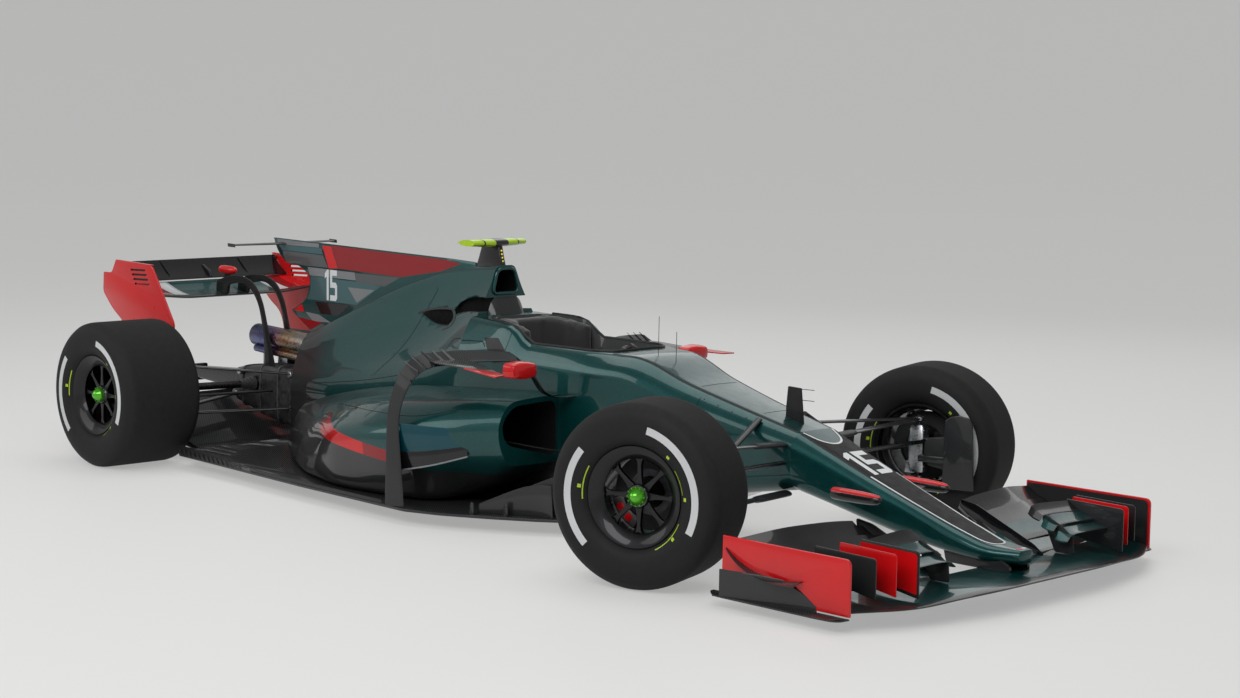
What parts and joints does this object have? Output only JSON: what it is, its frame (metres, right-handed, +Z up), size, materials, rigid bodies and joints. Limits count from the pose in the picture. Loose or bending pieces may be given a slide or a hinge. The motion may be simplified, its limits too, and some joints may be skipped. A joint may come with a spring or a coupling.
{
  "type": "open wheel racing car",
  "caption": "Single-seat open wheel racing car with wings front and rear, a shark fin, steered slick-shod front wheels and a flap that opens.",
  "frame": {"origin": "on the ground, midway between the foremost and the rearmost point, on the centre plane", "axes": "+X to the nose, +Y to the car's left, +Z up"},
  "size_m": [5.355, 2.1528, 1.1148],
  "materials": {
    "body_paint": "metallic gloss lacquer over carbon",
    "carbon": "woven carbon, satin lacquer",
    "red_paint": "gloss lacquer",
    "tyre": "slick rubber",
    "wheel_metal": "dark satin magnesium",
    "upright_metal": "machined",
    "wood": "laminated skid plank",
    "padding": "covered foam",
    "cast_metal": "cast, dark",
    "hot_steel": "heat tinted",
    "marker_paint": "bright yellow green lacquer"
  },
  "bodies": {
    "chassis": {"monocoque": "body_paint", "nose_cone": "body_paint", "engine_cover": "body_paint", "shark_fin": "body_paint", "t_wing": "carbon", "sidepod_right": "body_paint", "sidepod_left": "body_paint", "headrest": "padding", "seat": "carbon", "floor": "carbon", "plank": "wood", "diffuser": "carbon", "engine_block": "cast_metal", "gearbox_case": "carbon", "exhaust": "hot_steel", "front_wing_mainplane": "body_paint", "front_flaps": "carbon", "front_endplates": "red_paint", "nose_pylons": "body_paint", "rear_wing_mainplane": "carbon", "rear_endplates": "red_paint", "rear_wing_stay": "carbon", "drs_actuator": "red_paint", "roll_hoop_camera": "marker_paint", "bargeboards": "carbon", "side_vanes": "carbon", "mirrors": "red_paint", "nose_cameras": "carbon", "front_wishbones": "carbon", "rear_wishbones": "carbon", "rear_uprights": "upright_metal"},
    "knuckle_fr": {"upright_fr": "upright_metal"},
    "knuckle_fl": {"upright_fl": "upright_metal"},
    "wheel_fr": {"tyre_fr": "tyre", "rim_fr": "wheel_metal"},
    "wheel_fl": {"tyre_fl": "tyre", "rim_fl": "wheel_metal"},
    "wheel_rr": {"tyre_rr": "tyre", "rim_rr": "wheel_metal"},
    "wheel_rl": {"tyre_rl": "tyre", "rim_rl": "wheel_metal"},
    "steering_rack": {"steering_rack": "carbon"},
    "steering_wheel": {"steering_wheel": "carbon"},
    "drs_flap": {"drs_flap": "carbon"}
  },
  "joints": [
    {"name": "steer_right", "type": "hinge", "parent": "chassis", "child": "knuckle_fr", "pos_m": [1.4975, -0.7355, 0.335], "axis": [0, 0, 1], "range_deg": [-38, 2]},
    {"name": "steer_left", "type": "hinge", "parent": "chassis", "child": "knuckle_fl", "pos_m": [1.4975, 0.7355, 0.335], "axis": [0, 0, 1], "range_deg": [-38, 2]},
    {"name": "rack_slide", "type": "slide", "parent": "chassis", "child": "steering_rack", "axis": [0, 1, 0], "range_m": [-0.03919, 0.00225]},
    {"name": "steering_wheel_turn", "type": "hinge", "parent": "chassis", "child": "steering_wheel", "pos_m": [0.4575, 0, 0.6], "axis": [-0.9703, 0, 0.2419], "range_deg": [-343, 19]},
    {"name": "drs_flap_lift", "type": "hinge", "parent": "chassis", "child": "drs_flap", "pos_m": [-2.53388, 0, 0.87911], "axis": [0, -1, 0], "range_deg": [0, 18]},
    {"name": "wheel_fr_spin", "type": "hinge", "parent": "knuckle_fr", "child": "wheel_fr", "pos_m": [1.53211, -0.84202, 0.335], "axis": [-0.309, 0.9511, 0], "continuous": true},
    {"name": "wheel_fl_spin", "type": "hinge", "parent": "knuckle_fl", "child": "wheel_fl", "pos_m": [1.46289, 0.84202, 0.335], "axis": [-0.309, 0.9511, 0], "continuous": true},
    {"name": "wheel_rr_spin", "type": "hinge", "parent": "chassis", "child": "wheel_rr", "pos_m": [-1.9525, -0.7975, 0.335], "axis": [0, 1, 0], "continuous": true},
    {"name": "wheel_rl_spin", "type": "hinge", "parent": "chassis", "child": "wheel_rl", "pos_m": [-1.9525, 0.7975, 0.335], "axis": [0, 1, 0], "continuous": true}
  ],
  "couplings": [
    {"joint": "steer_left", "follows": "steer_right", "ratio": 1},
    {"joint": "rack_slide", "follows": "steer_right", "m_per_rad": 0.058789},
    {"joint": "steering_wheel_turn", "follows": "steer_right", "ratio": 9}
  ]
}
